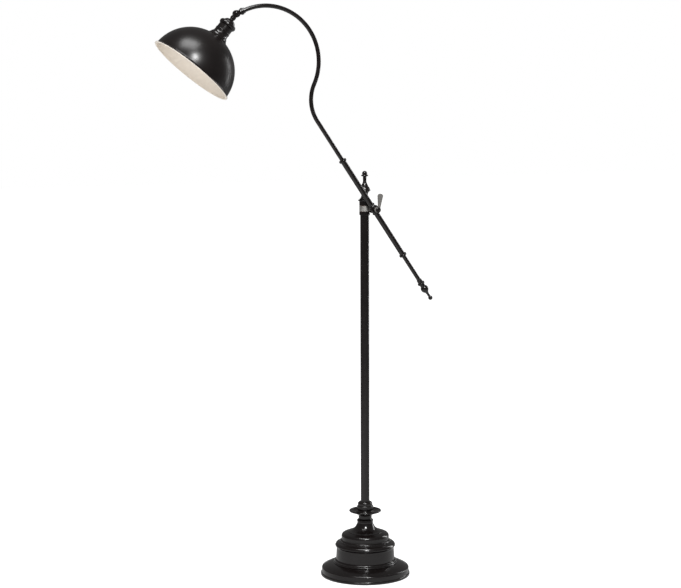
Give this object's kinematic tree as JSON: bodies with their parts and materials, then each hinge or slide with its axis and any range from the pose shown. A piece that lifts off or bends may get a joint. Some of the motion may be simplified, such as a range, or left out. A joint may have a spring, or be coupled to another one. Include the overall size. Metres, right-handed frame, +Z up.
{
  "type": "bridge floor lamp",
  "caption": "Floor lamp with a stepped round base, slim stem and curved arm clamped by a lever; domed shade on a knuckle.",
  "frame": {"origin": "on the floor at the centre of the felt pad, under the stem's axis", "axes": "+Z up along the stem; the arm lies in a plane parallel to XZ in front of the stem (-Y), with the shade towards -X and the turned tail towards +X"},
  "size_m": [0.7909, 0.2759, 1.6168],
  "materials": {
    "black_lacquer": "satin black lacquer over turned and spun metal",
    "shade_metal": "satin black outside, cream white inside and on the lip",
    "satin_nickel": "satin nickel plate",
    "grey_lever": "matt grey",
    "raw_steel": "plain zinc-plated steel",
    "iron": "rough casting",
    "brass": "plain brass",
    "felt": "pressed felt",
    "black_plastic": "moulded, matt",
    "insulator": "glazed white insulator",
    "fibre": "pressed fibre"
  },
  "bodies": {
    "stand": {"felt_pad": "felt", "base_plate": "raw_steel", "base_weight": "iron", "base_shell": "black_lacquer", "plate_screw_1": "raw_steel", "plate_screw_2": "raw_steel", "plate_screw_3": "raw_steel", "tie_rod": "raw_steel", "base_washer": "raw_steel", "base_nut": "raw_steel", "stem_nut": "raw_steel", "neck_turning": "black_lacquer", "saucer": "black_lacquer", "stem_cup": "black_lacquer", "stem_tube": "black_lacquer", "lower_collar": "black_lacquer", "stem_spigot": "raw_steel", "upper_cap": "black_lacquer", "top_finial": "black_lacquer", "thrust_washer_lower": "fibre", "thrust_washer_upper": "fibre"},
    "swivel": {"clamp_strap": "satin_nickel", "fibre_washer_front": "fibre", "fibre_washer_back": "fibre"},
    "eye": {"arm_eye": "black_lacquer", "pivot_nut": "black_lacquer", "pressure_pad": "brass"},
    "lever": {"lever_screw": "black_lacquer", "lever_handle": "grey_lever", "lever_knob": "black_lacquer"},
    "bush": {"arm_bush": "black_plastic"},
    "arm": {"arm_sleeve": "black_lacquer", "sleeve_ring_upper": "black_lacquer", "sleeve_ring_lower": "black_lacquer", "ring_grub_upper": "raw_steel", "ring_grub_lower": "raw_steel", "gooseneck_tube": "black_lacquer", "tail_ring": "black_lacquer", "tail_finial": "black_lacquer", "cord_bush": "black_plastic", "knuckle_arm_half": "black_lacquer", "knuckle_grub": "raw_steel"},
    "head": {"knuckle_shade_half": "black_lacquer", "knuckle_screw": "black_lacquer", "knuckle_washer": "raw_steel", "knuckle_nut": "black_lacquer", "socket_cap": "black_lacquer", "cap_nut": "raw_steel", "holder_shell": "black_lacquer", "shade_gallery": "black_lacquer", "shade": "shade_metal", "shade_ring": "black_plastic", "lampholder_body": "insulator", "lampholder_liner": "brass", "centre_contact": "brass", "terminal_left": "brass", "terminal_right": "brass"}
  },
  "joints": [
    {"name": "stem_swivel", "type": "hinge", "parent": "stand", "child": "swivel", "pos_m": [0, 0, 1.0504], "axis": [0, 0, 1], "continuous": true},
    {"name": "arm_tilt", "type": "hinge", "parent": "swivel", "child": "eye", "pos_m": [0.0166, -0.0265, 1.0504], "axis": [0, 1, 0], "range_deg": [-45, 33]},
    {"name": "lever_turn", "type": "hinge", "parent": "eye", "child": "lever", "pos_m": [0.0166, -0.0265, 1.0504], "axis": [0, -1, 0], "range_deg": [-20, 120]},
    {"name": "arm_roll", "type": "hinge", "parent": "eye", "child": "bush", "pos_m": [0.0166, -0.0265, 1.0504], "axis": [-0.5534, 0, 0.8329], "range_deg": [-90, 90]},
    {"name": "arm_slide", "type": "slide", "parent": "bush", "child": "arm", "axis": [-0.5534, 0, 0.8329], "range_m": [-0.12, 0.14]},
    {"name": "shade_tilt", "type": "hinge", "parent": "arm", "child": "head", "pos_m": [-0.3753, -0.0265, 1.58893], "axis": [0, 1, 0], "range_deg": [-60, 55]}
  ]
}
